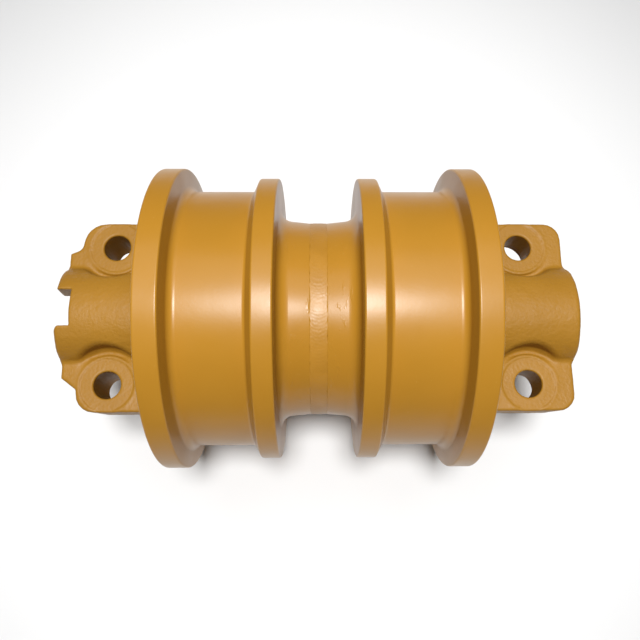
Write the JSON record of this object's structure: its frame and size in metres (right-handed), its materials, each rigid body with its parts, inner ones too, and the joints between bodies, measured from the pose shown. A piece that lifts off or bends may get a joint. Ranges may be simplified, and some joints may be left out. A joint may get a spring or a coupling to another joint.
{
  "type": "track roller",
  "caption": "Double-flange track roller: a waisted flanged shell turning on a fixed shaft, with a bolted collar with two ears and a round hump at each end.",
  "frame": {"origin": "middle of the shaft's axis, halfway between the two collars' outer ends", "axes": "+X along the shaft towards the plain collar, +Z the side that the bolt heads sit on, -Z the side of the collars' mounting faces, which faces up when the roller is bolted under a track frame"},
  "size_m": [0.453, 0.27, 0.27],
  "materials": {
    "shell_paint": "semi-gloss ochre yellow enamel over machined steel",
    "collar_paint": "semi-gloss ochre yellow enamel over rough castings",
    "steel": "ground",
    "lapped_iron": "lapped",
    "bronze": "machined",
    "rubber": "matte",
    "black_steel": "black oxide"
  },
  "bodies": {
    "shaft_assembly": {"shaft": "steel", "oil_plug": "black_steel", "collar_left": "collar_paint", "collar_right": "collar_paint", "lock_pin_left": "black_steel", "lock_pin_right": "black_steel", "shaft_o_ring_left": "rubber", "shaft_o_ring_right": "rubber", "fixed_seal_ring_left": "lapped_iron", "fixed_seal_ring_right": "lapped_iron", "fixed_toric_ring_left": "rubber", "fixed_toric_ring_right": "rubber"},
    "roller": {"shell_left": "shell_paint", "shell_right": "shell_paint", "weld_seam": "shell_paint", "bushing_left": "steel", "bushing_right": "steel", "bushing_lining_left": "bronze", "bushing_lining_right": "bronze", "bushing_dowel_left": "black_steel", "bushing_dowel_right": "black_steel", "rotating_seal_ring_left": "lapped_iron", "rotating_seal_ring_right": "lapped_iron", "rotating_toric_ring_left": "rubber", "rotating_toric_ring_right": "rubber"}
  },
  "joints": [
    {"name": "roller_spin", "type": "hinge", "parent": "shaft_assembly", "child": "roller", "pos_m": [0, 0, 0], "axis": [1, 0, 0], "continuous": true}
  ]
}
